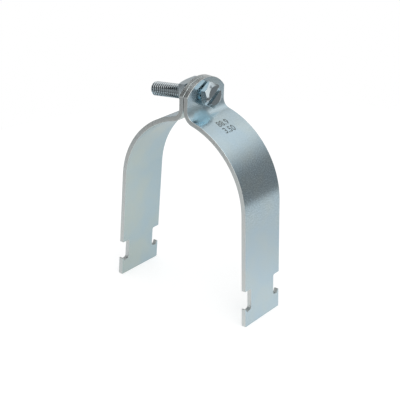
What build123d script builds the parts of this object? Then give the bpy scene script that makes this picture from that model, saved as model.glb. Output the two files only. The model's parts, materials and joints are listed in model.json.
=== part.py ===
from build123d import *
import math
import os

# Strut clamp for 3 inch pipe, in millimetres: two hooked steel straps, a slotted hex screw and a
# square nut. The legs stand apart along X, the pipe lies along Y, and Z runs up from the leg ends.
# The origin is on the floor, midway between the legs. No pipe is in, so the ears lie shut.

# The pipe and the slotted channel that the clamp is made for
pipe_radius = 44.45
channel_slot_width = 22.2
channel_lip_depth = 8.9

# The strip that both straps are bent from
strip_width = 31.75
strip_thickness = 2.66
strip_edge_break = 0.3

# The bends of a strap
seat_ease = 1.35           # the free seat's radius over the pipe's
draw_room = 5.1            # how far each seat's centre lies past the middle while the ears are shut
leg_splay = 3.25           # degrees that a free leg leans out
bend_radius = 5.2          # hollow side of the bend under the ear
ear_gap = 0.22             # between the two shut ears

# The ear
ear_shoulder_rise = 2.1    # from the hole's centre up to the ear's side corners
ear_tip_rise = 9.9         # from the hole's centre up to the top of its arched edge
ear_corner_radius = 0.8
nut_rest_depth = 2.05      # how far a level nut's lower flat dips into the bend, which stops it turning

# The hooked end of a leg
neck_clearance = 1.2       # the neck in the channel's slot, in all
hook_floor_height = 8.9    # from the leg's end up to the groove that takes a channel lip
groove_rise = 0.8          # the groove's floor climbs by this towards the neck
barb_height = 1.9          # the barb stands this much above the groove
barb_width = 0.9
barb_slope = 0.8           # how far the barb's inner flank leans in
face_clearance = 3.95      # the notch's top edge above the channel's face
notch_corner_radius = 1.0
end_corner_radius = 0.9

# The screw, 5/16-18 by 1 1/2 inch
screw_diameter = 7.94
screw_length = 38.1
screw_point = 0.9
head_across_flats = 12.7
head_height = 4.4
head_face_radius = 5.1     # the flat disc inside the crown's chamfer
head_chamfer_drop = 1.4    # how far the chamfer falls at the hexagon's corners
driver_slot_width = 2.1
driver_slot_depth = 2.2
driver_slot_turn = 31.0    # degrees up from level

# The square nut
nut_across_flats = 14.29
nut_thickness = 5.56
nut_face_radius = 6.9
nut_chamfer_drop = 1.2
nut_countersink = 0.5
nut_turn = 5.0             # degrees that the loose nut has turned, until a corner rides on the bend

# Fits
hole_clearance = 0.91      # the ear's hole over the screw's diameter
rim_gap = 0.06             # between the hanging screw and the rims that it leans on
thread_gap = 0.05          # between the screw and the nut's bore, on the radius
nut_gap = 0.1              # between the nut's corner and the bend that it leans on
head_gap = 0.7             # between the loose screw's head and the right ear, where they are nearest

# Cutting sketches reach this far past the metal
cut_margin = 2.0

# Strap: where its seat, bend, ear and leg lie
half_width = strip_width / 2
seat_radius = pipe_radius + seat_ease
seat_height = hook_floor_height + channel_lip_depth + pipe_radius
ear_face = ear_gap / 2 + strip_thickness
bend_reach = seat_radius + strip_thickness + bend_radius
bend_run = draw_room + ear_face + bend_radius
bend_rise = math.sqrt(bend_reach**2 - bend_run**2)
bend_angle = math.degrees(math.atan2(bend_rise, bend_run))
bend_height = seat_height + bend_rise
hole_height = bend_height + nut_across_flats / 2 - nut_rest_depth
blank_top = hole_height + ear_tip_rise + cut_margin

# The splayed leg stands on its broken inner edge, so the edge's sharp corner would dip below the floor
splay = math.radians(leg_splay)
corner_dip = strip_edge_break * math.sin(splay)
leg_length = (seat_height + corner_dip + seat_radius * math.sin(splay)) / math.cos(splay)
foot_x = seat_radius * math.cos(splay) + leg_length * math.sin(splay) - draw_room
ear_plane = Plane(origin=(0, 0, hole_height), x_dir=(0, 1, 0), z_dir=(1, 0, 0))
leg_plane = Plane(
    origin=(foot_x, 0, -corner_dip), x_dir=(0, 1, 0), z_dir=(math.cos(splay), 0, math.sin(splay))
)

# Screw: it hangs in the two ears' holes, thread end down, until it leans on a rim at each side
hole_radius = (screw_diameter + hole_clearance) / 2
grip = 2 * ear_face
droop = math.acos((screw_diameter + 2 * rim_gap) / math.hypot(2 * hole_radius, grip)) \
    - math.atan2(grip, 2 * hole_radius)
axis_plane = Plane(origin=(0, 0, hole_height), x_dir=(0, 1, 0), z_dir=(math.cos(droop), 0, math.sin(droop)))

# Head: the top corner of its underside comes nearest to the right ear
head_corner_radius = head_across_flats / math.sqrt(3)
head_seat = (ear_face + head_gap + head_corner_radius * math.sin(droop)) / math.cos(droop)

# Nut: the lowest corner of its inner face leans on the hollow of the left strap's bend, seen from the
# bend's centre along and across the screw
nut_half = nut_across_flats / 2
nut_drop = nut_half * (math.cos(math.radians(nut_turn)) + math.sin(math.radians(nut_turn)))
corner_x = nut_drop * math.sin(droop) + ear_face + bend_radius
corner_z = hole_height - nut_drop * math.cos(droop) - bend_height
corner_along = corner_x * math.cos(droop) + corner_z * math.sin(droop)
corner_across = corner_x * math.sin(droop) - corner_z * math.cos(droop)
nut_seat = corner_along - math.sqrt((bend_radius - nut_gap)**2 - corner_across**2)


def draw_strap_face(depth):
    """Draw a strap's side line from ear to leg end, depth millimetres out from its inner face."""
    ear_x = ear_gap / 2 + depth
    ear = Line((ear_x, blank_top), (ear_x, bend_height))
    bend = JernArc(ear @ 1, ear % 1, ear_face + bend_radius - ear_x, bend_angle)
    seat = JernArc(bend @ 1, bend % 1, seat_radius + depth, leg_splay - bend_angle)
    leg = PolarLine(seat @ 1, leg_length, direction=seat % 1)
    return ear @ 0, leg @ 1


def draw_crown(corner_radius, face_radius, drop, height):
    """Draw half the outline that a hexagon or a square is turned down to: a disc face with a chamfer."""
    reach = corner_radius + cut_margin
    slope = drop / (corner_radius - face_radius)
    Polyline(
        (0, 0), (reach, 0), (reach, height - slope * (reach - face_radius)),
        (face_radius, height), (0, height), close=True,
    )


with BuildPart() as right_strap:
    # The bent strip, seen along the pipe
    with BuildSketch(Plane.XZ):
        with BuildLine():
            inner_top, inner_end = draw_strap_face(0)
            outer_top, outer_end = draw_strap_face(strip_thickness)
            Line(inner_top, outer_top)
            Line(inner_end, outer_end)
        make_face()
    extrude(amount=half_width, both=True)
    # The ear's arched top and its hole
    with BuildSketch(ear_plane):
        with BuildLine():
            crown = ThreePointArc(
                (-half_width, ear_shoulder_rise), (0, ear_tip_rise), (half_width, ear_shoulder_rise)
            )
            Polyline(
                crown @ 1,
                (half_width + cut_margin, ear_shoulder_rise),
                (half_width + cut_margin, ear_tip_rise + 2 * cut_margin),
                (-half_width - cut_margin, ear_tip_rise + 2 * cut_margin),
                (-half_width - cut_margin, ear_shoulder_rise),
                crown @ 0,
            )
        make_face()
        Circle(hole_radius)
    extrude(amount=ear_face + cut_margin, mode=Mode.SUBTRACT)
    # The rounded corners of the ear and of the leg's end
    through_leg = Axis(leg_plane.origin, leg_plane.z_dir)
    fillet(right_strap.edges().filter_by(Axis.X).group_by(Axis.Z)[-1], ear_corner_radius)
    fillet(right_strap.edges().filter_by(through_leg).group_by(Axis.Z)[0], end_corner_radius)
    # The broken edges: they follow the strip's sides and run on round the ear's top and the leg's end
    side_edges = right_strap.faces().filter_by(Axis.Y).edges()
    corner_edges = right_strap.edges().filter_by(Axis.X) + right_strap.edges().filter_by(through_leg)
    chamfer(side_edges - corner_edges, strip_edge_break)
    # The notches that leave a neck and an upturned barb at each edge of the leg
    neck_half = (channel_slot_width - neck_clearance) / 2
    barb_top = hook_floor_height + barb_height
    notch_top = hook_floor_height + channel_lip_depth + face_clearance
    with BuildSketch(leg_plane):
        with BuildLine():
            Polyline(
                (neck_half, hook_floor_height + groove_rise),
                (half_width - barb_width - barb_slope, hook_floor_height),
                (half_width - barb_width, barb_top),
                (half_width + cut_margin, barb_top),
                (half_width + cut_margin, notch_top),
                (neck_half, notch_top),
                close=True,
            )
        notch = make_face()
        fillet(notch.vertices().group_by(Axis.X)[0], notch_corner_radius)
        mirror(about=Plane.YZ)
    extrude(amount=strip_thickness + cut_margin, both=True, mode=Mode.SUBTRACT)
right_strap.part.label = "right_strap"

with BuildPart() as left_strap:
    mirror(right_strap.part, about=Plane.YZ)
left_strap.part.label = "left_strap"

with BuildPart() as clamp_screw:
    head_plane = axis_plane.offset(head_seat)
    head_axis = Axis(head_plane.origin, head_plane.z_dir)
    # The hexagon, turned down to a chamfered crown
    with BuildSketch(head_plane):
        RegularPolygon(head_across_flats / 2, side_count=6, major_radius=False, rotation=30)
    extrude(amount=head_height)
    with BuildSketch(Plane(head_plane.origin, x_dir=head_plane.x_dir, z_dir=-head_plane.y_dir)):
        with BuildLine():
            draw_crown(head_corner_radius, head_face_radius, head_chamfer_drop, head_height)
        make_face()
    revolve(axis=head_axis, mode=Mode.INTERSECT)
    # The driver slot
    with BuildSketch(head_plane.offset(head_height)):
        Rectangle(3 * head_corner_radius, driver_slot_width, rotation=driver_slot_turn)
    extrude(amount=-driver_slot_depth, mode=Mode.SUBTRACT)
    # The shank, plain at the thread's outer diameter
    with BuildSketch(head_plane):
        Circle(screw_diameter / 2)
    extrude(amount=-screw_length)
    chamfer(clamp_screw.edges().sort_by(Axis.X)[0], screw_point)
clamp_screw.part.label = "clamp_screw"

with BuildPart() as square_nut:
    nut_plane = axis_plane.offset(-nut_seat)
    with BuildSketch(nut_plane):
        Rectangle(nut_across_flats, nut_across_flats, rotation=nut_turn)
    extrude(amount=-nut_thickness)
    with BuildSketch(Plane(nut_plane.origin, x_dir=nut_plane.x_dir, z_dir=nut_plane.y_dir)):
        with BuildLine():
            draw_crown(nut_half * math.sqrt(2), nut_face_radius, nut_chamfer_drop, nut_thickness)
        make_face()
    revolve(axis=Axis(nut_plane.origin, nut_plane.z_dir), mode=Mode.INTERSECT)
    with BuildSketch(nut_plane):
        Circle(screw_diameter / 2 + thread_gap)
    extrude(amount=-nut_thickness, mode=Mode.SUBTRACT)
    chamfer(square_nut.edges().filter_by(GeomType.CIRCLE).group_by(SortBy.RADIUS)[0], nut_countersink)
square_nut.part.label = "square_nut"

os.makedirs("parts", exist_ok=True)
export_step(right_strap.part, "parts/right_strap.step")
export_step(left_strap.part, "parts/left_strap.step")
export_step(clamp_screw.part, "parts/clamp_screw.step")
export_step(square_nut.part, "parts/square_nut.step")
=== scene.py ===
"""A strut clamp in bright zinc plate: two bent strip straps, a slotted hex screw and a square nut."""

import json
import logging
import math
from collections import defaultdict
from collections.abc import Iterable, Sequence
from dataclasses import dataclass, field
from enum import Enum

import bmesh
import bpy
from mathutils import Matrix, Vector


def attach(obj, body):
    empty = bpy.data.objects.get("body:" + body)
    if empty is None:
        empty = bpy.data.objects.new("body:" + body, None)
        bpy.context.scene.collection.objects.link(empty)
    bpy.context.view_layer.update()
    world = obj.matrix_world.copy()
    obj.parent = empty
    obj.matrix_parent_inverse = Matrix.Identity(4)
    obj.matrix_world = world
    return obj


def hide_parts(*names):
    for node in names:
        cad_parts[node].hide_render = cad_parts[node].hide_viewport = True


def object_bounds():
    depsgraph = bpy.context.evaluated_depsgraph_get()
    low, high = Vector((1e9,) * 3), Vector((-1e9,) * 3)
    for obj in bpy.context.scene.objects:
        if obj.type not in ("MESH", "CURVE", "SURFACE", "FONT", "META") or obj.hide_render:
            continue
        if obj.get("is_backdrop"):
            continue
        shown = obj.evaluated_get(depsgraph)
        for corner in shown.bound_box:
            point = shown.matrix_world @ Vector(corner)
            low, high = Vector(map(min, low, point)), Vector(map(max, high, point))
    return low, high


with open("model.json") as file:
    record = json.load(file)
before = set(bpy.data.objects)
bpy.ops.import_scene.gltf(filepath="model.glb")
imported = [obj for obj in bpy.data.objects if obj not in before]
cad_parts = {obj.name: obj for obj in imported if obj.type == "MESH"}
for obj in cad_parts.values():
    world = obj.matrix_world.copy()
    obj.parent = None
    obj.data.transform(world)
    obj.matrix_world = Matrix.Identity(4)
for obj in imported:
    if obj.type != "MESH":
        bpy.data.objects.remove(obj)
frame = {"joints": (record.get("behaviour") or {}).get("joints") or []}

Colour = tuple[float, float, float]
Point = tuple[float, float, float]
Pair = tuple[float, float]

MM = 0.001
MERGE_REACH = 1e-5
FULL_TURN = 2 * math.pi
BREAK_ANGLE = math.radians(38)
NOISE_REACH = (0.3, 0.7)
SOFT_DETAIL = 1.0
FINE_DETAIL = 2.0
GROOVE = "groove"
BRIGHTNESS = "brightness"
LOG = logging.getLogger("strut_clamp")


class Join(Enum):
    """How a tool shape is put together with a body."""

    ADD = "UNION"
    CUT = "DIFFERENCE"
    KEEP = "INTERSECT"


class Pattern(Enum):
    """What a finish reads its pattern from: the flat strip before it was bent, or the piece itself."""

    STRIP = "UV"
    PIECE = "Object"


class StrapFace(Enum):
    """The surfaces of a strap, each with the number of its material."""

    OUTSIDE = 0
    CUT_EDGE = 1
    INSIDE = 2
    STAMPED = 3


def all_of(mesh: bmesh.types.BMesh) -> list:
    """Return every vertex, edge and face of a mesh."""
    return [*mesh.verts, *mesh.edges, *mesh.faces]


def turned_body(outline: Sequence[Pair], steps: int) -> bmesh.types.BMesh:
    """Turn an outline about the Z axis into a closed body.

    Args:
        outline: points as (radius, height), of which the first and the last lie on the axis.
        steps: number of flats round a full turn.

    Returns:
        The closed body.
    """
    mesh = bmesh.new()
    corners = [mesh.verts.new((radius, 0.0, height)) for radius, height in outline]
    edges = [mesh.edges.new(pair) for pair in zip(corners, corners[1:])]
    bmesh.ops.spin(
        mesh, geom=corners + edges, cent=(0, 0, 0), axis=(0, 0, 1), dvec=(0, 0, 0),
        angle=FULL_TURN, steps=steps, use_merge=True,
    )
    bmesh.ops.remove_doubles(mesh, verts=mesh.verts, dist=MERGE_REACH)
    bmesh.ops.recalc_face_normals(mesh, faces=mesh.faces)
    return mesh


def prism(sides: int, across_flats: float, height: float, turn: float) -> bmesh.types.BMesh:
    """Make an upright prism on the XY plane.

    Args:
        sides: number of flats.
        across_flats: distance between two opposite flats.
        height: height above the plane.
        turn: radians that the prism is turned about the Z axis.

    Returns:
        The closed prism.
    """
    mesh = bmesh.new()
    corner_radius = across_flats / 2 / math.cos(math.pi / sides)
    place = Matrix.Translation((0, 0, height / 2)) @ Matrix.Rotation(turn, 4, "Z")
    bmesh.ops.create_cone(
        mesh, cap_ends=True, cap_tris=False, segments=sides, radius1=corner_radius,
        radius2=corner_radius, depth=height, matrix=place,
    )
    return mesh


def crown(
    corner_radius: float, face_radius: float, drop: float, height: float, steps: int,
) -> bmesh.types.BMesh:
    """Make the round body that a prism is turned down to: a disc face with a chamfer falling away from it.

    Args:
        corner_radius: radius of the prism's corners.
        face_radius: radius of the flat disc.
        drop: fall of the chamfer from the disc to the corners.
        height: height of the disc above the prism's foot.
        steps: number of flats round a full turn.

    Returns:
        The closed body, which stands clear of the prism at its foot and its sides.
    """
    spare = 1.0
    slope = drop / (corner_radius - face_radius)
    reach = corner_radius + spare
    rim = height - slope * (reach - face_radius)
    outline = [(0, -spare), (reach, -spare), (reach, rim), (face_radius, height), (0, height)]
    return turned_body(outline, steps)


def evaluated_copy(mesh: bmesh.types.BMesh, kind: str, **settings: object) -> bmesh.types.BMesh:
    """Put a mesh through one modifier.

    Args:
        mesh: the mesh, which is freed.
        kind: the modifier's type.
        settings: values set on the modifier.

    Returns:
        The changed mesh.
    """
    data = bpy.data.meshes.new("work")
    mesh.to_mesh(data)
    mesh.free()
    holder = bpy.data.objects.new("work", data)
    bpy.context.scene.collection.objects.link(holder)
    modifier = holder.modifiers.new("step", kind)
    for name, value in settings.items():
        setattr(modifier, name, value)
    changed = holder.evaluated_get(bpy.context.evaluated_depsgraph_get())
    result = bmesh.new()
    result.from_mesh(changed.to_mesh())
    changed.to_mesh_clear()
    bpy.data.objects.remove(holder)
    bpy.data.meshes.remove(data)
    return result


def combined(body: bmesh.types.BMesh, tool: bmesh.types.BMesh, join: Join) -> bmesh.types.BMesh:
    """Add, cut away or keep what a tool shape covers of a body.

    Args:
        body: the closed body, which is freed.
        tool: the closed tool shape, which is freed.
        join: what happens to the shared space.

    Returns:
        The new body.
    """
    data = bpy.data.meshes.new("tool")
    tool.to_mesh(data)
    tool.free()
    holder = bpy.data.objects.new("tool", data)
    bpy.context.scene.collection.objects.link(holder)
    result = evaluated_copy(body, "BOOLEAN", object=holder, operation=join.value, solver="EXACT")
    bpy.data.objects.remove(holder)
    bpy.data.meshes.remove(data)
    bmesh.ops.remove_doubles(result, verts=result.verts, dist=MERGE_REACH)
    return result


def numeral_punch(numerals: str, height: float, depth: float, place: Matrix) -> bmesh.types.BMesh:
    """Make a punch in the shape of plain numerals.

    Args:
        numerals: the numerals, with a line break between rows.
        height: height of a numeral.
        depth: how far the punch reaches to each side of its own plane.
        place: where the punch goes, with the rows along its X axis.

    Returns:
        The closed punch.
    """
    numeral_share = 0.7
    row_spacing = 0.95
    stroke_gain = 0.03
    arc_steps = 3
    curve = bpy.data.curves.new("punch", "FONT")
    curve.body = numerals
    curve.size = height / numeral_share
    curve.space_line = row_spacing
    curve.extrude = depth
    curve.offset = stroke_gain * height
    curve.resolution_u = arc_steps
    curve.align_x = "CENTER"
    curve.align_y = "CENTER"
    holder = bpy.data.objects.new("punch", curve)
    bpy.context.scene.collection.objects.link(holder)
    changed = holder.evaluated_get(bpy.context.evaluated_depsgraph_get())
    punch = bmesh.new()
    punch.from_mesh(changed.to_mesh())
    changed.to_mesh_clear()
    bpy.data.objects.remove(holder)
    bpy.data.curves.remove(curve)
    for layer in punch.loops.layers.uv.values():
        punch.loops.layers.uv.remove(layer)
    bmesh.ops.remove_doubles(punch, verts=punch.verts, dist=MERGE_REACH)
    bmesh.ops.recalc_face_normals(punch, faces=punch.faces)
    bmesh.ops.transform(punch, matrix=place, verts=punch.verts)
    return punch


def eased(mesh: bmesh.types.BMesh, width: float, segments: int) -> bmesh.types.BMesh:
    """Round the weighted edges of a mesh.

    Args:
        mesh: the mesh, whose bevel_weight_edge gives each edge its share of the width.
        width: width of the rounding at a weight of one.
        segments: number of flats across the rounding.

    Returns:
        The rounded mesh.
    """
    return evaluated_copy(
        mesh, "BEVEL", width=width, segments=segments, limit_method="WEIGHT", profile=0.5,
        use_clamp_overlap=False, material=-1,
    )


def is_wall(face: bmesh.types.BMFace) -> bool:
    """Return whether a face of a flat blank runs through the strip's thickness."""
    return abs(face.normal.x) < face.normal.yz.length


def weight_layer(mesh: bmesh.types.BMesh) -> bmesh.types.BMLayerItem:
    """Return the layer that holds the bevel weight of each edge."""
    layers = mesh.edges.layers.float
    return layers.get("bevel_weight_edge") or layers.new("bevel_weight_edge")


def shown(name: str, mesh: bmesh.types.BMesh, materials: Sequence[bpy.types.Material]) -> bpy.types.Object:
    """Show a mesh as an object at the origin.

    Args:
        name: the object's name.
        mesh: the mesh in metres, which is freed.
        materials: the materials, in the order of the mesh's material numbers.

    Returns:
        The object.
    """
    data = bpy.data.meshes.new(name)
    mesh.to_mesh(data)
    mesh.free()
    for material in materials:
        data.materials.append(material)
    item = bpy.data.objects.new(name, data)
    bpy.context.scene.collection.objects.link(item)
    return item


def finished_piece(
    name: str, mesh: bmesh.types.BMesh, materials: Sequence[bpy.types.Material],
) -> bpy.types.Object:
    """Turn a mesh in millimetres into a shown piece, with smooth shading between its sharp edges.

    Args:
        name: the object's name.
        mesh: the mesh in the part's own frame, which is freed.
        materials: the materials, in the order of the mesh's material numbers.

    Returns:
        The object, at the origin.
    """
    sharp_angle = math.radians(28)
    bmesh.ops.scale(mesh, vec=(MM, MM, MM), verts=mesh.verts)
    for face in mesh.faces:
        face.smooth = True
    for edge in mesh.edges:
        edge.smooth = edge.calc_face_angle(0.0) < sharp_angle
    piece = shown(name, mesh, materials)
    shading = piece.modifiers.new("flat_faces", "WEIGHTED_NORMAL")
    shading.keep_sharp = True
    return piece


class Board:
    """The node tree of a material or of the world, with short calls to fill it."""

    def __init__(self, owner: bpy.types.Material | bpy.types.World) -> None:
        """Turn on a node tree and empty it.

        Args:
            owner: the material or the world that the nodes belong to.
        """
        owner.use_nodes = True
        self.tree = owner.node_tree
        self.tree.nodes.clear()

    def add(
        self, kind: str, inputs: dict[str | int, object] | None = None, **settings: object,
    ) -> bpy.types.Node:
        """Add a node.

        Args:
            kind: the node's type without the leading ShaderNode.
            inputs: for each input, a value or the output socket that feeds it.
            settings: properties of the node.

        Returns:
            The node.
        """
        node = self.tree.nodes.new("ShaderNode" + kind)
        for name, value in settings.items():
            setattr(node, name, value)
        for name, value in (inputs or {}).items():
            if isinstance(value, bpy.types.NodeSocket):
                self.tree.links.new(value, node.inputs[name])
            else:
                node.inputs[name].default_value = value
        return node

    def math(self, operation: str, first: object, second: object = 0.0) -> bpy.types.NodeSocket:
        """Work out one sum, product or other operation, and return its output."""
        return self.add("Math", {0: first, 1: second}, operation=operation).outputs[0]

    def blend(self, share: object, low: object, high: object) -> bpy.types.NodeSocket:
        """Mix two colours.

        Args:
            share: share of the high colour.
            low: colour or socket at a share of nought.
            high: colour or socket at a share of one.

        Returns:
            The mixed colour.
        """
        ends = [end if isinstance(end, bpy.types.NodeSocket) else (*end, 1) for end in (low, high)]
        return self.add("Mix", {0: share, 6: ends[0], 7: ends[1]}, data_type="RGBA").outputs[2]

    def spread(self, value: bpy.types.NodeSocket, start: Pair, end: Pair) -> bpy.types.NodeSocket:
        """Carry a value from one range to another, held at the ends.

        Args:
            value: the socket to carry over.
            start: the range that it is read from.
            end: the range that it is carried to.

        Returns:
            The new value.
        """
        return self.add("MapRange", {0: value, 1: start[0], 2: start[1], 3: end[0], 4: end[1]}).outputs[0]

    def noise(self, place: bpy.types.NodeSocket, size: Point, detail: float) -> bpy.types.NodeSocket:
        """Give a cloudy value between about 0.3 and 0.7.

        Args:
            place: coordinates in millimetres.
            size: size of a cloud along each axis, in millimetres.
            detail: octaves of finer clouds.

        Returns:
            The value.
        """
        scaled = self.add("Mapping", {"Vector": place, "Scale": tuple(1 / side for side in size)}).outputs[0]
        return self.add("TexNoise", {"Vector": scaled, "Scale": 1.0, "Detail": detail}).outputs[0]


@dataclass(frozen=True)
class Unevenness:
    """The outputs that a finish is patterned by: coordinates in millimetres, and noise on them."""

    place: bpy.types.NodeSocket
    mottle: bpy.types.NodeSocket
    peel: bpy.types.NodeSocket
    streaks: bpy.types.NodeSocket


@dataclass(frozen=True)
class ZincPlate:
    """Bright zinc plate with a clear blue dip: cloudy tints, a fine grain and faint streaks.

    Sizes are in millimetres, across and then along the strip. The relief is the height of the bumps.
    """

    name: str
    pattern: Pattern
    pale: Colour = (0.605, 0.745, 0.815)
    cool: Colour = (0.56, 0.725, 0.83)
    warm: Colour = (0.65, 0.755, 0.75)
    tint_share: Pair = (0.3, 0.5)
    smooth: float = 0.235
    rough: float = 0.255
    gloss_reach: Pair = (0.25, 0.75)
    mottle_in_gloss: float = 0.6
    cloud_size: float = 16.0
    cloud_reach: Pair = (0.38, 0.62)
    warm_drift: float = 0.0
    mottle_size: float = 3.5
    peel_size: float = 0.8
    peel_relief: float = 0.004
    grain_size: float = 0.28
    grain_relief: float = 0.0016
    streak_size: Pair = (0.35, 30.0)
    streak_relief: float = 0.0012
    # Painted thread light: a painted highlight over the thread and painted shade in its roots, read from the
    # groove depth.
    threaded: bool = False
    painted_thread_highlight: Colour = (0.86, 0.93, 0.96)
    painted_highlight_reach: Pair = (0.0, 0.9)
    painted_root_shade: Colour = (0.035, 0.038, 0.042)
    painted_shade_reach: Pair = (1.40, 1.62)
    stretched_middle: float | None = None
    stretched_reach: Pair = (8.1, 27.0)
    stretched_speckle: float = 0.15
    flat_speckle: float = 0.03
    # A patch in the bend's hollow: a painted blue reflection tint and a hazier finish.
    patch_centre: Pair | None = None
    patch_size: Pair = (16.5, 12.5)
    patch_fray: Pair = (-0.16, 0.0)
    patch_edge: Pair = (0.0, 0.34)
    patch_haze: float = 0.26
    painted_reflection_tint: Colour = (0.60, 0.84, 0.94)
    painted_reflection_share: float = 0.8
    bend_middle: float | None = None
    bend_reach: float = 4.5
    bend_haze: float = 0.26

    def material(self) -> bpy.types.Material:
        """Build the finish as a procedural material.

        Returns:
            The material.
        """
        material = bpy.data.materials.new(self.name)
        board = Board(material)
        uneven = self.unevenness(board)
        reflection_patch = self.reflection_patch(board, uneven) if self.patch_centre else None
        inputs = {
            "Base Color": self.colour(board, uneven, reflection_patch),
            "Metallic": 1.0,
            "Roughness": self.roughness(board, uneven, reflection_patch),
            "Normal": self.bump(board, uneven),
        }
        shader = board.add("BsdfPrincipled", inputs)
        board.add("OutputMaterial", {"Surface": shader.outputs[0]})
        return material

    def unevenness(self, board: Board) -> Unevenness:
        """Lay out the coordinates and the noise that the finish shares.

        Args:
            board: the material's nodes.

        Returns:
            Their outputs.
        """
        source = board.add("TexCoord").outputs[self.pattern.value]
        to_mm = 1.0 if self.pattern is Pattern.STRIP else 1 / MM
        place = board.add("Mapping", {"Vector": source, "Scale": (to_mm,) * 3}).outputs[0]
        across, along = self.streak_size
        return Unevenness(
            place=place,
            mottle=board.noise(place, (self.mottle_size,) * 3, SOFT_DETAIL),
            peel=board.noise(place, (self.peel_size,) * 3, SOFT_DETAIL),
            streaks=board.noise(place, (across, along, across), FINE_DETAIL),
        )

    def colour(
        self, board: Board, uneven: Unevenness, reflection_patch: bpy.types.NodeSocket | None,
    ) -> bpy.types.NodeSocket:
        """Mix the plating's colour.

        Args:
            board: the material's nodes.
            uneven: the coordinates and the noise.
            reflection_patch: share of the patch in the bend's hollow that gets a painted blue reflection.

        Returns:
            The colour.
        """
        clouds = board.noise(uneven.place, (self.cloud_size,) * 3, FINE_DETAIL)
        if self.warm_drift:
            side = board.add("SeparateXYZ", {0: uneven.place}).outputs[0]
            clouds = board.math("ADD", clouds, board.math("MULTIPLY", side, self.warm_drift))
        tint = board.blend(board.spread(clouds, self.cloud_reach, (0.0, 1.0)), self.cool, self.warm)
        colour = board.blend(board.spread(uneven.mottle, NOISE_REACH, self.tint_share), self.pale, tint)
        if reflection_patch:
            # Painted blue reflection in the bend's hollow.
            colour = board.blend(board.math("MULTIPLY", reflection_patch, self.painted_reflection_share), colour, self.painted_reflection_tint)
        if self.stretched_middle:
            colour = self.speckled(board, uneven, colour)
        if self.threaded:
            # Painted highlight over the thread and painted shade in its roots.
            colour = self.paint_thread_light_and_shade(board, colour)
        return colour

    def roughness(
        self, board: Board, uneven: Unevenness, reflection_patch: bpy.types.NodeSocket | None,
    ) -> bpy.types.NodeSocket:
        """Work out how rough the plating is.

        Args:
            board: the material's nodes.
            uneven: the coordinates and the noise.
            reflection_patch: share of the patch in the bend's hollow, which is hazy.

        Returns:
            The roughness.
        """
        mottle = board.math("MULTIPLY", uneven.mottle, self.mottle_in_gloss)
        streaks = board.math("MULTIPLY", uneven.streaks, 1 - self.mottle_in_gloss)
        gloss = board.math("ADD", mottle, streaks)
        roughness = board.spread(gloss, self.gloss_reach, (self.smooth, self.rough))
        if reflection_patch:
            roughness = board.math("ADD", roughness, board.math("MULTIPLY", reflection_patch, self.patch_haze))
        if self.bend_middle:
            from_bend = self.distance_along(board, uneven, self.bend_middle)
            haze = board.spread(from_bend, (0.0, self.bend_reach), (self.bend_haze, 0.0))
            roughness = board.math("ADD", roughness, haze)
        return roughness

    def bump(self, board: Board, uneven: Unevenness) -> bpy.types.NodeSocket:
        """Raise the peel, the grain and the streaks.

        Args:
            board: the material's nodes.
            uneven: the coordinates and the noise.

        Returns:
            The bumped normal.
        """
        grain = board.noise(uneven.place, (self.grain_size,) * 3, FINE_DETAIL)
        height = board.math("MULTIPLY", uneven.peel, self.peel_relief)
        height = board.math("ADD", height, board.math("MULTIPLY", grain, self.grain_relief))
        height = board.math("ADD", height, board.math("MULTIPLY", uneven.streaks, self.streak_relief))
        return board.add("Bump", {"Height": height, "Distance": MM, "Strength": 1.0}).outputs[0]

    def distance_along(self, board: Board, uneven: Unevenness, middle: float) -> bpy.types.NodeSocket:
        """Return how far a point lies from a line across the strip."""
        along = board.add("SeparateXYZ", {0: uneven.place}).outputs[1]
        return board.math("ABSOLUTE", board.math("SUBTRACT", along, middle))

    def paint_thread_light_and_shade(self, board: Board, colour: bpy.types.NodeSocket) -> bpy.types.NodeSocket:
        """Paint a highlight over the thread and paint shade into its roots.

        Args:
            board: the material's nodes.
            colour: the colour off the thread.

        Returns:
            The colour with a painted highlight on the thread and painted shade in its roots.
        """
        depth = board.add("Attribute", attribute_name=GROOVE).outputs["Fac"]
        # Painted highlight over the thread, then painted shade in the roots.
        with_painted_highlight = board.blend(board.spread(depth, self.painted_highlight_reach, (0.0, 1.0)), colour, self.painted_thread_highlight)
        return board.blend(board.spread(depth, self.painted_shade_reach, (0.0, 1.0)), with_painted_highlight, self.painted_root_shade)

    def speckled(
        self, board: Board, uneven: Unevenness, colour: bpy.types.NodeSocket,
    ) -> bpy.types.NodeSocket:
        """Speckle the plating, most where the bend round the pipe has stretched the strip's outer face.

        Args:
            board: the material's nodes.
            uneven: the coordinates and the noise.
            colour: the even colour.

        Returns:
            The speckled colour.
        """
        off_middle = self.distance_along(board, uneven, self.stretched_middle)
        strength = board.spread(off_middle, self.stretched_reach, (self.stretched_speckle, self.flat_speckle))
        swing = board.math("MULTIPLY", board.spread(uneven.peel, NOISE_REACH, (-1.0, 1.0)), strength)
        factor = board.math("ADD", swing, 1.0)
        return board.add("VectorMath", {0: colour, "Scale": factor}, operation="SCALE").outputs[0]

    def reflection_patch(self, board: Board, uneven: Unevenness) -> bpy.types.NodeSocket:
        """Mark the patch in the hollow of the bend that gets a painted blue reflection and a hazier finish.

        Args:
            board: the material's nodes.
            uneven: the coordinates and the noise, which frays the patch's edge.

        Returns:
            The share of the patch, from nought around it to one in its middle.
        """
        across, along = self.patch_centre
        wide, tall = self.patch_size
        centred = board.add("Mapping", {"Vector": uneven.place, "Location": (-across, -along, 0)}).outputs[0]
        unit = board.add("Mapping", {"Vector": centred, "Scale": (2 / wide, 2 / tall, 0)}).outputs[0]
        disc = board.add("TexGradient", {"Vector": unit}, gradient_type="SPHERICAL").outputs[1]
        frayed = board.math("ADD", disc, board.spread(uneven.mottle, NOISE_REACH, self.patch_fray))
        return board.spread(frayed, self.patch_edge, (0.0, 1.0))


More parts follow.
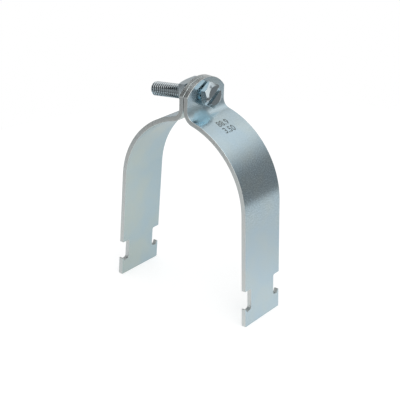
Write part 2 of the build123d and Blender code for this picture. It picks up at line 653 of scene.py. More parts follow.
class Outline:
    """A flat outline drawn corner by corner in an upright plane, in millimetres."""

    def __init__(self, plane_x: float, start: Pair) -> None:
        """Put the pen down.

        Args:
            plane_x: the plane that the outline is drawn in.
            start: the first corner, as (y, z).
        """
        self.mesh = bmesh.new()
        self.plane_x = plane_x
        self.tip = self.mesh.verts.new((plane_x, *start))
        self.start = self.tip
        self.rounded: list[tuple[bmesh.types.BMVert, float]] = []

    def line(self, y: float, z: float) -> "Outline":
        """Draw a straight edge to a corner.

        Args:
            y: the corner's place across the strip.
            z: its height.

        Returns:
            The outline, to draw on.
        """
        corner = self.mesh.verts.new((self.plane_x, y, z))
        self.mesh.edges.new((self.tip, corner))
        self.tip = corner
        return self

    def arc(self, centre_z: float, angle: float, steps: int) -> "Outline":
        """Turn the pen about a centre on the middle line.

        Args:
            centre_z: height of the centre.
            angle: signed angle about the X axis.
            steps: number of edges along the arc.

        Returns:
            The outline, to draw on.
        """
        centre = (self.plane_x, 0, centre_z)
        chain = bmesh.ops.spin(
            self.mesh, geom=[self.tip], cent=centre, axis=(1, 0, 0), dvec=(0, 0, 0), angle=angle, steps=steps
        )
        self.tip = next(item for item in chain["geom_last"] if isinstance(item, bmesh.types.BMVert))
        return self

    def rounded_by(self, radius: float) -> "Outline":
        """Have the last corner rounded when the outline is filled."""
        self.rounded.append((self.tip, radius))
        return self

    def fill(self, steps: int) -> bmesh.types.BMesh:
        """Close the outline, fill it with one face and round its corners.

        Args:
            steps: number of edges that a rounded corner gets.

        Returns:
            The flat mesh.
        """
        self.mesh.edges.new((self.tip, self.start))
        bmesh.ops.contextual_create(self.mesh, geom=self.mesh.edges[:])
        for corner, radius in self.rounded:
            arms = [edge.other_vert(corner).co - corner.co for edge in corner.link_edges]
            turn = math.pi - arms[0].angle(arms[1])
            bmesh.ops.bevel(
                self.mesh, geom=[corner], offset=radius * math.tan(turn / 2), offset_type="OFFSET",
                segments=steps, profile=0.5, affect="VERTICES", material=-1, clamp_overlap=False,
            )
        return self.mesh


@dataclass(frozen=True)
class StrapSizes:
    """The sizes of a strap, in millimetres and radians. Heights on the leg are from its end."""

    pipe_radius: float = 44.45
    width: float = 31.75
    thickness: float = 2.66
    edge_break: float = 0.3
    punched_edge_break: float = 0.12
    stamp_below: float = 19.2
    stamp_height: float = 3.7
    stamp_depth: float = 0.4
    stamp_reach: float = 11.1
    stamp_margin: float = 3.175
    seat_ease: float = 1.35
    draw_room: float = 5.1
    splay: float = math.radians(3.25)
    bend_radius: float = 5.2
    ear_gap: float = 0.22
    shoulder_rise: float = 2.1
    tip_rise: float = 9.9
    shoulder_radius: float = 0.8
    hole_radius: float = 4.425
    neck_half: float = 10.5
    hook_floor: float = 8.9
    groove_rise: float = 0.8
    barb_height: float = 1.9
    barb_width: float = 0.9
    barb_slope: float = 0.8
    lip_depth: float = 8.9
    face_clearance: float = 3.95
    notch_radius: float = 1.0
    end_radius: float = 0.9

    @property
    def half_width(self) -> float:
        """Return half the strip's width."""
        return self.width / 2

    @property
    def seat_radius(self) -> float:
        """Return the radius of the seat's inner face."""
        return self.pipe_radius + self.seat_ease

    @property
    def seat_centre(self) -> Vector:
        """Return the centre of the seat's arcs."""
        return Vector((-self.draw_room, 0, self.hook_floor + self.lip_depth + self.pipe_radius))

    @property
    def bend_centre(self) -> Vector:
        """Find the centre of the bend's arcs, one reach away from the seat's centre.

        Returns:
            The centre, in the strip's middle plane.
        """
        across = self.ear_gap / 2 + self.thickness + self.bend_radius
        reach = self.seat_radius + self.thickness + self.bend_radius
        run = across - self.seat_centre.x
        return Vector((across, 0, self.seat_centre.z + math.sqrt(reach**2 - run**2)))

    @property
    def bend_angle(self) -> float:
        """Return the angle that the bend turns through."""
        between = self.bend_centre - self.seat_centre
        return math.atan2(between.z, between.x)

    @property
    def seat_angle(self) -> float:
        """Return the angle that the seat turns back through."""
        return self.bend_angle - self.splay

    @property
    def bend_length(self) -> float:
        """Return the length of the bend along the strip's middle."""
        return self.bend_angle * (self.bend_radius + self.thickness / 2)

    @property
    def seat_length(self) -> float:
        """Return the length of the seat along the strip's middle."""
        return self.seat_angle * (self.seat_radius + self.thickness / 2)

    @property
    def leg_length(self) -> float:
        """Return the length of the straight leg, which stands on its broken inner edge."""
        sine = math.sin(self.splay)
        return (self.seat_centre.z + (self.edge_break + self.seat_radius) * sine) / math.cos(self.splay)

    @property
    def flat_end(self) -> float:
        """Return the height of the flat blank's lower end, with the ear in its place."""
        return self.bend_centre.z - self.bend_length - self.seat_length - self.leg_length


@dataclass
class Strap:
    """A strap: a punched strip with an ear at one end and hooks at the other, bent to hold the pipe."""

    node: str
    body: str
    hole_height: float
    turn: float = 0.0
    numerals: str = ""
    sizes: StrapSizes = field(default_factory=StrapSizes)
    crown_steps: int = 20
    hole_steps: int = 28
    corner_steps: int = 6
    bend_steps: int = 18
    seat_steps: int = 44
    edge_segments: int = 3

    def flat_blank(self) -> bmesh.types.BMesh:
        """Draw half the blank, mirror it and give it the strip's thickness.

        Returns:
            The flat solid, with its ear in place and the rest hanging straight down.
        """
        sizes = self.sizes
        rise = sizes.tip_rise - sizes.shoulder_rise
        crown_radius = (sizes.half_width**2 + rise**2) / (2 * rise)
        crown_angle = math.asin(sizes.half_width / crown_radius)
        ear_top = self.hole_height + sizes.tip_rise
        hook_inner = sizes.half_width - sizes.barb_width - sizes.barb_slope
        notch_top = sizes.flat_end + sizes.hook_floor + sizes.lip_depth + sizes.face_clearance
        hook = sizes.flat_end + sizes.hook_floor
        pen = Outline(sizes.ear_gap / 2, (0, ear_top))
        pen.arc(ear_top - crown_radius, -crown_angle, self.crown_steps).rounded_by(sizes.shoulder_radius)
        pen.line(sizes.half_width, notch_top).line(sizes.neck_half, notch_top).rounded_by(sizes.notch_radius)
        pen.line(sizes.neck_half, hook + sizes.groove_rise).rounded_by(sizes.notch_radius)
        pen.line(hook_inner, hook).line(hook_inner + sizes.barb_slope, hook + sizes.barb_height)
        pen.line(sizes.half_width, hook + sizes.barb_height)
        pen.line(sizes.half_width, sizes.flat_end).rounded_by(sizes.end_radius).line(0, sizes.flat_end)
        pen.line(0, self.hole_height - sizes.hole_radius).arc(self.hole_height, math.pi, self.hole_steps)
        blank = pen.fill(self.corner_steps)
        bmesh.ops.mirror(
            blank, geom=all_of(blank), matrix=Matrix.Identity(4), merge_dist=MERGE_REACH, axis="Y"
        )
        bmesh.ops.recalc_face_normals(blank, faces=blank.faces)
        grown = bmesh.ops.extrude_face_region(blank, geom=blank.faces[:])
        far_side = [item for item in grown["geom"] if isinstance(item, bmesh.types.BMVert)]
        bmesh.ops.translate(blank, verts=far_side, vec=(sizes.thickness, 0, 0))
        bmesh.ops.recalc_face_normals(blank, faces=blank.faces)
        return blank

    def stamp(self, blank: bmesh.types.BMesh) -> bmesh.types.BMesh:
        """Press the numerals into the outer face of the flat blank.

        Args:
            blank: the flat solid, which is freed.

        Returns:
            The stamped blank.
        """
        sizes = self.sizes
        face = sizes.ear_gap / 2 + sizes.thickness
        middle = Vector((face, 0, sizes.bend_centre.z - sizes.stamp_below))
        place = Matrix.Translation(middle) @ Matrix(((0, 0, 1), (1, 0, 0), (0, 1, 0))).to_4x4()
        punch = numeral_punch(self.numerals, sizes.stamp_height, sizes.stamp_depth, place)
        return combined(blank, punch, Join.CUT)

    def bend_lines(self) -> list[float]:
        """List where the strip turns.

        Returns:
            Distances below the bend's start, first through the bend and then through the seat.
        """
        bend, seat = self.sizes.bend_length, self.sizes.seat_length
        in_bend = [bend * step / self.bend_steps for step in range(self.bend_steps)]
        in_seat = [bend + seat * step / self.seat_steps for step in range(self.seat_steps + 1)]
        return in_bend + in_seat

    def map_blank(self, blank: bmesh.types.BMesh) -> None:
        """Give each face its finish and, in millimetres, its place on the flat blank.

        Args:
            blank: the flat solid.
        """
        layer = blank.loops.layers.uv.new("blank")
        for face in blank.faces:
            surface = self.surface_of(face)
            face.material_index = surface.value
            for loop in face.loops:
                x, y, z = loop.vert.co
                loop[layer].uv = (x, z + y) if surface is StrapFace.CUT_EDGE else (y, z)

    def surface_of(self, face: bmesh.types.BMFace) -> StrapFace:
        """Tell which surface of the strap a face belongs to.

        Args:
            face: a face of the flat solid.

        Returns:
            The surface.
        """
        stamp_floor = self.sizes.ear_gap / 2 + self.sizes.thickness - self.sizes.stamp_depth
        if is_wall(face):
            return StrapFace.CUT_EDGE
        if face.normal.x < 0:
            return StrapFace.INSIDE
        is_sunk = face.calc_center_median().x < stamp_floor + MERGE_REACH
        return StrapFace.STAMPED if is_sunk else StrapFace.OUTSIDE

    def weigh_edges(self, blank: bmesh.types.BMesh) -> None:
        """Set how much each rim edge is rounded: the slit sides fully, the punched notches and hole less.

        Args:
            blank: the flat solid.
        """
        sizes = self.sizes
        weight = weight_layer(blank)
        corner_angle = math.radians(35)
        notch_low = sizes.flat_end + sizes.hook_floor - MERGE_REACH
        notch_high = sizes.flat_end + sizes.hook_floor + sizes.lip_depth + sizes.face_clearance + MERGE_REACH
        for edge in blank.edges:
            middle = (edge.verts[0].co + edge.verts[1].co) / 2
            in_notch = notch_low < middle.z < notch_high and abs(middle.y) < sizes.half_width - MERGE_REACH
            from_hole = math.hypot(middle.y, middle.z - self.hole_height)
            punched = in_notch or from_hole < sizes.hole_radius + MERGE_REACH
            walls = [face for face in edge.link_faces if is_wall(face)]
            along_rim = len(walls) == 1
            at_corner = len(walls) == 2 and edge.calc_face_angle() > corner_angle
            if self.is_stamped(edge) or not (along_rim or at_corner):
                continue
            fully = along_rim and not punched
            edge[weight] = 1.0 if fully else sizes.punched_edge_break / sizes.edge_break

    def is_stamped(self, edge: bmesh.types.BMEdge) -> bool:
        """Tell whether an edge belongs to the stamped numerals, well inside the strip's outline.

        Args:
            edge: an edge of the flat solid.

        Returns:
            Whether it does.
        """
        sizes = self.sizes
        end = edge.verts[0].co
        from_stamp = abs(sizes.bend_centre.z - end.z - sizes.stamp_below)
        return from_stamp < sizes.stamp_reach and abs(end.y) < sizes.half_width - sizes.stamp_margin

    def section_place(self, below: float) -> Matrix:
        """Find where bending carries a cross-section of the flat strip.

        Args:
            below: distance of the section below the bend's start.

        Returns:
            The transform from the flat place to the bent place.
        """
        sizes = self.sizes
        below = min(below, sizes.bend_length + sizes.seat_length)
        bent = min(below, sizes.bend_length) / sizes.bend_length * sizes.bend_angle
        turned_back = max(0.0, below - sizes.bend_length) / sizes.seat_length * sizes.seat_angle
        place = Matrix.Translation((0, 0, below))
        for centre, angle in ((sizes.bend_centre, -bent), (sizes.seat_centre, turned_back)):
            about = Matrix.Translation(centre) @ Matrix.Rotation(angle, 4, "Y") @ Matrix.Translation(-centre)
            place = about @ place
        return place

    def bend(self, blank: bmesh.types.BMesh) -> None:
        """Bend the flat solid under the ear, round the pipe and into the leg.

        Args:
            blank: the flat solid, which is cut across at its bend lines first.
        """
        sizes = self.sizes
        for below in self.bend_lines():
            bmesh.ops.bisect_plane(
                blank, geom=all_of(blank), dist=MERGE_REACH, plane_no=(0, 0, 1),
                plane_co=(0, 0, sizes.bend_centre.z - below),
            )
        self.map_blank(blank)
        self.weigh_edges(blank)
        digits = 4
        sections: dict[float, list[bmesh.types.BMVert]] = defaultdict(list)
        for corner in blank.verts:
            below = min(sizes.bend_centre.z - corner.co.z, sizes.bend_length + sizes.seat_length)
            if below > 0:
                sections[round(below, digits)].append(corner)
        for below, corners in sections.items():
            bmesh.ops.transform(blank, matrix=self.section_place(below), verts=corners)

    def build(self, finishes: dict[StrapFace, bpy.types.Material]) -> bpy.types.Object:
        """Make the strap and set it in its node's place.

        Args:
            finishes: the finish of each of its surfaces.

        Returns:
            The strap's object.
        """
        mesh = self.flat_blank()
        if self.numerals:
            mesh = self.stamp(mesh)
        self.bend(mesh)
        mesh = eased(mesh, self.sizes.edge_break, self.edge_segments)
        bmesh.ops.rotate(mesh, cent=(0, 0, 0), matrix=Matrix.Rotation(self.turn, 3, "Z"), verts=mesh.verts)
        materials = [finishes[surface] for surface in StrapFace]
        piece = finished_piece(self.node + "_plated", mesh, materials)
        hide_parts(self.node)
        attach(piece, self.body)
        return piece


@dataclass(frozen=True)
class Thread:
    """A right-hand thread of 18 turns to the inch, in millimetres."""

    radius: float = 3.97
    pitch: float = 25.4 / 18
    steps: int = 48
    tip_turns: int = 3
    near_turns: int = 5

    @property
    def crest(self) -> float:
        """Return the width of the flat crest."""
        return self.pitch / 8

    @property
    def root(self) -> float:
        """Return the width of the flat root."""
        return self.pitch / 6

    @property
    def depth(self) -> float:
        """Return the depth that flanks of 60 degrees leave between crest and root."""
        return (self.pitch - self.crest - self.root) / 2 * math.sqrt(3)

    def body(self, low: float, high: float) -> bmesh.types.BMesh:
        """Wind a closed threaded bar along the Z axis.

        Args:
            low: height where the first turn starts.
            high: height that the last turn reaches at least.

        Returns:
            The closed bar, with a point at each end.
        """
        inner = self.radius - self.depth
        middle = (self.pitch + self.crest) / 2
        profile = (
            (self.radius, 0.0), (self.radius, self.crest), (inner, middle - self.root / 2),
            (inner, middle + self.root / 2), (self.radius, self.pitch),
        )
        turns = math.ceil((high - low) / self.pitch)
        mesh = bmesh.new()
        corners = [mesh.verts.new((radius, 0.0, low + height)) for radius, height in profile]
        edges = [mesh.edges.new(pair) for pair in zip(corners, corners[1:])]
        bmesh.ops.spin(
            mesh, geom=corners + edges, cent=(0, 0, 0), axis=(0, 0, 1),
            dvec=(0, 0, self.pitch / self.steps), angle=FULL_TURN * turns, steps=self.steps * turns,
        )
        seam_reach = 10 * MERGE_REACH
        bmesh.ops.remove_doubles(mesh, verts=mesh.verts, dist=seam_reach)
        for tip in (low - self.pitch, high + self.tip_turns * self.pitch):
            rim = [edge for edge in mesh.edges if edge.is_boundary and self.is_near(edge, tip)]
            skirt = bmesh.ops.extrude_edge_only(mesh, edges=rim)
            ends = [item for item in skirt["geom"] if isinstance(item, bmesh.types.BMVert)]
            bmesh.ops.pointmerge(mesh, verts=ends, merge_co=(0, 0, tip))
        bmesh.ops.recalc_face_normals(mesh, faces=mesh.faces)
        return mesh

    def is_near(self, edge: bmesh.types.BMEdge, height: float) -> bool:
        """Return whether an edge lies within a few turns of a height."""
        return abs(edge.verts[0].co.z - height) < self.near_turns * self.pitch


@dataclass(frozen=True)
class ScrewAxis:
    """The line that the screw and the nut share, read from the frame, in millimetres."""

    origin: Vector
    direction: Vector

    @classmethod
    def from_frame(cls) -> "ScrewAxis":
        """Read the line from the screw's own joint."""
        turn = next(joint for joint in frame["joints"] if joint["name"] == "screw_turn")
        return cls(Vector(turn["pos_m"]) / MM, Vector(turn["axis"]).normalized())

    def placement(self) -> Matrix:
        """Find where a body on the Z axis, with Y upwards, goes on the line.

        Returns:
            The transform.
        """
        across = Vector((0, 1, 0))
        upwards = self.direction.cross(across)
        turn = Matrix((across, upwards, self.direction)).transposed().to_4x4()
        return Matrix.Translation(self.origin) @ turn


@dataclass
class Screw:
    """The slotted hex-head machine screw. Heights are along its axis from the ears' holes."""

    axis: ScrewAxis
    thread: Thread = field(default_factory=Thread)
    head_seat: float = 4.455
    head_across_flats: float = 12.7
    head_height: float = 4.4
    face_radius: float = 5.1
    chamfer_drop: float = 1.4
    slot_width: float = 2.1
    slot_depth: float = 2.2
    slot_turn: float = math.radians(31)
    length: float = 38.1
    point: float = 0.9
    bar_spare: float = 0.02
    collar_length: float = 1.2
    collar_chamfer: float = 0.5
    collar_inset: float = 0.01
    collar_drop: float = 0.1
    collar_steps: int = 76
    joint_width: float = 0.3
    joint_height: float = 0.1
    edge_break: float = 0.14
    edge_segments: int = 2
    round_steps: int = 96

    def head(self) -> bmesh.types.BMesh:
        """Make the hexagon with its turned crown and driver slot.

        Returns:
            The head, standing on its seat.
        """
        corner_radius = self.head_across_flats / math.sqrt(3)
        head = prism(6, self.head_across_flats, self.head_height, 0.0)
        turned = crown(corner_radius, self.face_radius, self.chamfer_drop, self.head_height, self.round_steps)
        head = combined(head, turned, Join.KEEP)
        cutter = bmesh.new()
        slot_length = 4 * corner_radius
        place = Matrix.Translation((0, 0, self.head_height)) @ Matrix.Rotation(self.slot_turn, 4, "Z")
        scale = Matrix.Diagonal((slot_length, self.slot_width, 2 * self.slot_depth, 1))
        bmesh.ops.create_cube(cutter, size=1.0, matrix=place @ scale)
        head = combined(head, cutter, Join.CUT)
        bmesh.ops.translate(head, verts=head.verts, vec=(0, 0, self.head_seat))
        return head

    def shank(self) -> bmesh.types.BMesh:
        """Make the threaded shank with its plain collar and its chamfered end.

        Returns:
            The shank, from the head's inside to the thread's end.
        """
        end = self.head_seat - self.length
        inside_head = self.head_seat + self.head_height / 4
        radius = self.thread.radius
        wound = self.thread.body(end - 2 * self.thread.pitch, inside_head)
        clear = radius + self.bar_spare
        bar = turned_body(
            [(0, end), (radius - self.point, end), (clear, end + self.point + self.bar_spare),
             (clear, inside_head), (0, inside_head)],
            self.round_steps,
        )
        foot = self.head_seat - self.collar_length
        top = inside_head - self.collar_drop
        inset = radius - self.collar_inset
        collar = turned_body(
            [(0, foot), (radius - self.collar_chamfer, foot), (inset, foot + self.collar_chamfer),
             (inset, top), (0, top)],
            self.collar_steps,
        )
        return combined(combined(wound, bar, Join.KEEP), collar, Join.ADD)

    def is_on_head(self, edge: bmesh.types.BMEdge) -> bool:
        """Tell whether an edge belongs to the head, and not to the joint between head and shank.

        Args:
            edge: an edge of the screw on the Z axis.

        Returns:
            Whether it is one of the head's own edges.
        """
        heights = [corner.co.z for corner in edge.verts]
        widest = max(corner.co.xy.length for corner in edge.verts)
        in_joint_width = widest < self.thread.radius + self.joint_width
        in_joint_height = max(heights) < self.head_seat + self.joint_height
        at_joint = in_joint_width and in_joint_height
        return min(heights) > self.head_seat - MERGE_REACH and not at_joint

    def mark_grooves(self, mesh: bmesh.types.BMesh) -> None:
        """Record how deep each corner of the thread lies, from one on the crest to two at the root.

        Args:
            mesh: the screw on the Z axis.
        """
        layer = mesh.verts.layers.float.new(GROOVE)
        end = self.head_seat - self.length + MERGE_REACH
        for corner in mesh.verts:
            if end < corner.co.z < self.head_seat - self.collar_length:
                depth = (self.thread.radius - corner.co.xy.length) / self.thread.depth
                corner[layer] = 1 + min(max(depth, 0.0), 1.0)

    def build(self, material: bpy.types.Material) -> bpy.types.Object:
        """Make the screw and hang it in its node's place.

        Args:
            material: the finish.

        Returns:
            The screw's object.
        """
        mesh = combined(self.shank(), self.head(), Join.ADD)
        weight = weight_layer(mesh)
        for edge in mesh.edges:
            if self.is_on_head(edge) and edge.calc_face_angle(0.0) > BREAK_ANGLE:
                edge[weight] = 1.0
        mesh = eased(mesh, self.edge_break, self.edge_segments)
        self.mark_grooves(mesh)
        bmesh.ops.transform(mesh, matrix=self.axis.placement(), verts=mesh.verts)
        piece = finished_piece("clamp_screw_plated", mesh, [material])
        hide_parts("clamp_screw")
        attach(piece, "screw")
        return piece


@dataclass
class SquareNut:
    """The square nut. Its inner face bears on the bend of the left strap."""

    axis: ScrewAxis
    thread: Thread = field(default_factory=Thread)
    inner_face: float = -5.071
    across_flats: float = 14.29
    thickness: float = 5.56
    face_radius: float = 6.9
    chamfer_drop: float = 1.2
    countersink: float = 0.5
    turn: float = math.radians(5)
    thread_gap: float = 0.05
    bore_margin: float = 0.1
    edge_break: float = 0.16
    edge_segments: int = 2
    round_steps: int = 96

    @property
    def bore_radius(self) -> float:
        """Return the radius of the plain bore."""
        return self.thread.radius + self.thread_gap

    @property
    def mouth_radius(self) -> float:
        """Return the radius of the countersinks at the nut's faces."""
        return self.bore_radius + self.countersink

    def drill(self) -> bmesh.types.BMesh:
        """Make the body that cuts the bore and its two countersinks.

        Returns:
            The closed body, which stands out of the nut at both faces.
        """
        spare = 1.0
        reach = self.mouth_radius + spare
        top = self.thickness
        return turned_body(
            [(0, -spare), (reach, -spare), (self.bore_radius, self.countersink),
             (self.bore_radius, top - self.countersink), (reach, top + spare), (0, top + spare)],
            self.round_steps,
        )

    def build(self, material: bpy.types.Material) -> bpy.types.Object:
        """Make the nut and set it in its node's place.

        Args:
            material: the finish.

        Returns:
            The nut's object.
        """
        corner_radius = self.across_flats / math.sqrt(2)
        mesh = prism(4, self.across_flats, self.thickness, math.pi / 4 - self.turn)
        turned = crown(corner_radius, self.face_radius, self.chamfer_drop, self.thickness, self.round_steps)
        mesh = combined(mesh, turned, Join.KEEP)
        mesh = combined(mesh, self.drill(), Join.CUT)
        weight = weight_layer(mesh)
        for edge in mesh.edges:
            at_bore = max(corner.co.xy.length for corner in edge.verts) < self.mouth_radius + self.bore_margin
            if edge.calc_face_angle(0.0) > BREAK_ANGLE and not at_bore:
                edge[weight] = 1.0
        mesh = eased(mesh, self.edge_break, self.edge_segments)
        outwards = Matrix.Translation((0, 0, self.inner_face)) @ Matrix.Rotation(math.pi, 4, "X")
        bmesh.ops.transform(mesh, matrix=self.axis.placement() @ outwards, verts=mesh.verts)
        piece = finished_piece("square_nut_plated", mesh, [material])
        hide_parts("square_nut")
        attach(piece, "nut")
        return piece


@dataclass(frozen=True)
class PhotoCamera:
    """The camera, at the place and angle that the photograph was taken from."""

    place: Point = (0.31932, -0.40935, 0.29673)
    yaw: float = 37.90
    pitch: float = 24.78
    roll: float = 1.667
    lens: float = 92.01
    sensor: float = 36.0
    nearest: float = 0.01

    def build(self) -> None:
        """Make the camera and choose it for the scene."""
        data = bpy.data.cameras.new("photo_camera")
        data.sensor_fit = "HORIZONTAL"
        data.sensor_width = self.sensor
        data.lens = self.lens
        data.clip_start = self.nearest
        camera = bpy.data.objects.new("photo_camera", data)
        aim = (
            Matrix.Rotation(math.radians(self.yaw), 4, "Z")
            @ Matrix.Rotation(math.radians(90 - self.pitch), 4, "X")
            @ Matrix.Rotation(math.radians(self.roll), 4, "Z")
        )
        camera.matrix_world = Matrix.Translation(self.place) @ aim
        bpy.context.scene.collection.objects.link(camera)
        bpy.context.scene.camera = camera


@dataclass(frozen=True)
class Softbox:
    """A square lamp that hangs round the object and faces it."""

    name: str
    azimuth: float
    elevation: float
    distance: float
    side: float
    power: float
    aim: Point = (0.0, 0.0, 0.09)

    def build(self) -> None:
        """Hang the lamp."""
        data = bpy.data.lights.new(self.name, "AREA")
        data.energy = self.power
        data.size = self.side
        lamp = bpy.data.objects.new(self.name, data)
        around, above = math.radians(self.azimuth), math.radians(self.elevation)
        level = math.cos(above)
        towards = Vector((math.cos(around) * level, math.sin(around) * level, math.sin(above)))
        lamp.location = Vector(self.aim) + towards * self.distance
        lamp.rotation_euler = towards.to_track_quat("Z", "Y").to_euler()
        bpy.context.scene.collection.objects.link(lamp)


def glowing(name: str) -> bpy.types.Material:
    """Make a material that sends out the light that the mesh has recorded for each corner.

    Args:
        name: the material's name.

    Returns:
        The material.
    """
    material = bpy.data.materials.new(name)
    board = Board(material)
    strength = board.add("Attribute", attribute_name=BRIGHTNESS).outputs["Fac"]
    glow = board.add("Emission", {"Strength": strength})
    board.add("OutputMaterial", {"Surface": glow.outputs[0]})
    return material


def stage_object(name: str, mesh: bmesh.types.BMesh, material: bpy.types.Material) -> bpy.types.Object:
    """Show a mesh as part of the studio and not of the object.

    Args:
        name: the object's name.
        mesh: the mesh in metres, which is freed.
        material: its material.

    Returns:
        The object.
    """
    prop = shown(name, mesh, [material])
    prop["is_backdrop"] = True
    return prop


def show_in_metal_only(prop: bpy.types.Object) -> None:
    """Hide a studio object from all but mirrored rays.

    Args:
        prop: the studio object.
    """
    prop.visible_camera = False
    prop.visible_diffuse = False
    prop.visible_transmission = False
    prop.visible_shadow = False


@dataclass(frozen=True)
class RoomCard:
    """An upright curved card that only shows in the metal, like one side of the room.

    Each stop is a height in metres and the card's brightness there.
    """

    name: str
    start: float
    end: float
    radius: float
    stops: tuple[Pair, ...]
    steps: int = 32

    def build(self) -> None:
        """Stand the card round the object."""
        mesh = bmesh.new()
        layer = mesh.verts.layers.float.new(BRIGHTNESS)
        first = math.radians(self.start)
        foot = (self.radius * math.cos(first), self.radius * math.sin(first))
        corners = [mesh.verts.new((*foot, height)) for height, _ in self.stops]
        for corner, (_, grey) in zip(corners, self.stops):
            corner[layer] = grey
        edges = [mesh.edges.new(pair) for pair in zip(corners, corners[1:])]
        bmesh.ops.spin(
            mesh, geom=corners + edges, cent=(0, 0, 0), axis=(0, 0, 1), dvec=(0, 0, 0),
            angle=math.radians(self.end) - first, steps=self.steps,
        )
        show_in_metal_only(stage_object(self.name, mesh, glowing(self.name)))


@dataclass(frozen=True)
class Studio:
    """A pale table under even light, with dim parts of the room beyond it that only show in the metal."""

    table_centre: Pair = (0.045, 0.05)
    table_radius: float = 0.325
    table_steps: int = 96
    table_grey: float = 0.62
    table_grey_in_metal: float = 0.12
    table_lift: float = 0.58
    table_lift_in_metal: Pair = (0.68, 0.55)
    bright_spot: Point = (0.06, 0.015, 0.0)
    bright_spot_reach: Pair = (0.015, 0.10)
    ground_reach: float = 1.6
    ground_grey: float = 0.12
    ground_steps: int = 64
    sky: float = 1.0
    sky_on_matt: float = 0.75
    cards: tuple[RoomCard, ...] = (
        RoomCard(
            "far_right_side", start=10, end=36, radius=0.385,
            stops=((0.0, 0.21), (0.205, 0.21), (0.50, 0.33), (0.62, 0.82), (0.9, 0.82)),
        ),
        RoomCard("far_right_window", start=3, end=18, radius=0.37, stops=((0.40, 1.3), (0.66, 1.3))),
        RoomCard(
            "far_side", start=36, end=86, radius=0.385,
            stops=((0.0, 0.21), (0.205, 0.23), (0.29, 0.48), (0.37, 0.82), (0.9, 0.82)),
        ),
        RoomCard(
            "far_left_side", start=86, end=112, radius=0.385,
            stops=((0.0, 0.21), (0.205, 0.23), (0.29, 0.5), (0.34, 0.72), (0.9, 0.72)),
        ),
        RoomCard(
            "left_side", start=112, end=178, radius=0.55,
            stops=((0.0, 0.53), (0.30, 0.53), (0.45, 0.35), (0.62, 0.14), (1.2, 0.14)),
        ),
        RoomCard("left_window", start=162, end=178, radius=0.53, stops=((0.53, 1.1), (0.76, 1.1))),
        RoomCard("near_side", start=178, end=262, radius=0.46, stops=((0.0, 0.36), (0.22, 0.36))),
        RoomCard(
            "upper_near_side", start=178, end=246, radius=0.46,
            stops=((0.22, 0.36), (0.30, 0.05), (1.3, 0.05)),
        ),
    )
    softboxes: tuple[Softbox, ...] = (
        Softbox("lamp", azimuth=-40, elevation=52, distance=0.9, side=0.30, power=0.8),
    )

    def build(self) -> None:
        """Set up the table, the room, the sky and the lamps, and show colours as they are."""
        bpy.context.scene.view_settings.view_transform = "Standard"
        self.build_sky()
        self.build_table()
        self.build_ground()
        for card in self.cards:
            card.build()
        for softbox in self.softboxes:
            softbox.build()

    def build_sky(self) -> None:
        """Light the scene evenly from all round, with a white background."""
        world = bpy.data.worlds.new("sky")
        bpy.context.scene.world = world
        board = Board(world)
        rays = board.add("LightPath").outputs
        seen = board.math("MAXIMUM", rays["Is Camera Ray"], rays["Is Glossy Ray"])
        seen = board.math("MAXIMUM", seen, rays["Is Transmission Ray"])
        strength = board.spread(seen, (0.0, 1.0), (self.sky_on_matt, self.sky))
        light = board.add("Background", {"Color": (1, 1, 1, 1), "Strength": strength})
        board.add("OutputWorld", {"Surface": light.outputs[0]})

    def build_table(self) -> None:
        """Lay the pale table, which shows white around the object's shadow."""
        mesh = bmesh.new()
        bmesh.ops.create_circle(
            mesh, cap_ends=True, segments=self.table_steps, radius=self.table_radius,
            matrix=Matrix.Translation((*self.table_centre, 0)),
        )
        material = bpy.data.materials.new("pale_table")
        board = Board(material)
        rays = board.add("LightPath").outputs
        grey = board.spread(rays["Is Glossy Ray"], (0.0, 1.0), (self.table_grey, self.table_grey_in_metal))
        matt = board.add("BsdfDiffuse", {"Color": grey})
        place = board.add("TexCoord").outputs["Object"]
        off_spot = board.add("VectorMath", {0: place, 1: self.bright_spot}, operation="DISTANCE")
        glow = board.spread(off_spot.outputs["Value"], self.bright_spot_reach, self.table_lift_in_metal)
        in_metal = board.math("MULTIPLY", rays["Is Glossy Ray"], glow)
        seen = board.math("MULTIPLY", rays["Is Camera Ray"], self.table_lift)
        lift = board.add("Emission", {"Strength": board.math("ADD", seen, in_metal)})
        surface = board.add("AddShader", {0: matt.outputs[0], 1: lift.outputs[0]})
        board.add("OutputMaterial", {"Surface": surface.outputs[0]})
        stage_object("table", mesh, material)

    def build_ground(self) -> None:
        """Lay the dim ground beyond the table's edge."""
        mesh = bmesh.new()
        middle_x, middle_y = self.table_centre
        layer = mesh.verts.layers.float.new(BRIGHTNESS)
        inner = mesh.verts.new((middle_x + self.table_radius, middle_y, -MM))
        outer = mesh.verts.new((middle_x + self.ground_reach, middle_y, -MM))
        inner[layer] = outer[layer] = self.ground_grey
        edge = mesh.edges.new((inner, outer))
        bmesh.ops.spin(
            mesh, geom=[inner, outer, edge], cent=(middle_x, middle_y, 0), axis=(0, 0, 1),
            dvec=(0, 0, 0), angle=FULL_TURN, steps=self.ground_steps, use_merge=True,
        )
        show_in_metal_only(stage_object("dim_ground", mesh, glowing("dim_ground")))


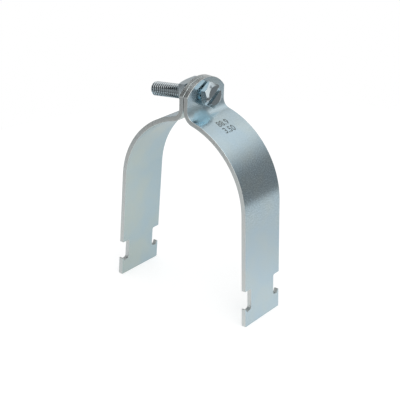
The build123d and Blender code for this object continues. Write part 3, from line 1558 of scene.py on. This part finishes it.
def write_sizes(cad_box: Iterable[Vector]) -> None:
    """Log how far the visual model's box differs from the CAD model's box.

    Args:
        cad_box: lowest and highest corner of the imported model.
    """
    cad = [list(corner) for corner in cad_box]
    visual = [list(corner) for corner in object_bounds()]
    for corner, (want, got) in enumerate(zip(cad, visual)):
        apart = [round((there - here) / MM, 3) for here, there in zip(want, got)]
        LOG.info("corner %d differs by %s mm", corner, apart)


def main() -> None:
    """Build the camera, the studio and the clamp's four pieces."""
    logging.basicConfig(level=logging.INFO, format="%(name)s: %(message)s")
    cad_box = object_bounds()
    axis = ScrewAxis.from_frame()
    PhotoCamera().build()
    Studio().build()
    # The outer face carries the painted blue reflection patch in the bend's hollow.
    outside = ZincPlate(
        "zinc_outer_face", Pattern.STRIP, patch_centre=(-6.5, 107.2), bend_middle=112.3, stretched_middle=57.0,
    ).material()
    cut_edge = ZincPlate(
        "zinc_cut_edge", Pattern.STRIP,
        pale=(0.775, 0.825, 0.82), cool=(0.73, 0.795, 0.81), warm=(0.80, 0.815, 0.79),
        smooth=0.31, rough=0.45, mottle_size=1.2, streak_size=(4.0, 0.22), streak_relief=0.012,
    ).material()
    inside = ZincPlate(
        "zinc_inner_face", Pattern.STRIP,
        pale=(0.60, 0.735, 0.765), cool=(0.52, 0.70, 0.80), warm=(0.66, 0.74, 0.66),
        cloud_size=20.0, warm_drift=0.010,
    ).material()
    # The stamped recesses are coloured darker and plated rougher than the outer face.
    stamped = ZincPlate(
        "zinc_stamped", Pattern.STRIP,
        pale=(0.31, 0.35, 0.37), cool=(0.28, 0.34, 0.37), warm=(0.34, 0.36, 0.35), smooth=0.30, rough=0.45,
    ).material()
    fastener = ZincPlate(
        "zinc_fastener", Pattern.PIECE,
        pale=(0.60, 0.69, 0.735), cool=(0.56, 0.67, 0.74), warm=(0.62, 0.68, 0.68),
        smooth=0.14, rough=0.20, cloud_size=6.0, threaded=True,
    ).material()
    strip = {
        StrapFace.OUTSIDE: outside,
        StrapFace.CUT_EDGE: cut_edge,
        StrapFace.INSIDE: inside,
        StrapFace.STAMPED: stamped,
    }
    pieces = [
        Strap("right_strap", "right_half", axis.origin.z, numerals="88.9\n3.50").build(strip),
        Strap("left_strap", "left_half", axis.origin.z, turn=math.pi).build(strip),
        Screw(axis).build(fastener),
        SquareNut(axis).build(fastener),
    ]
    for piece in pieces:
        LOG.info("%s: %d faces", piece.name, len(piece.data.polygons))
    write_sizes(cad_box)


if __name__ == "__main__":
    main()
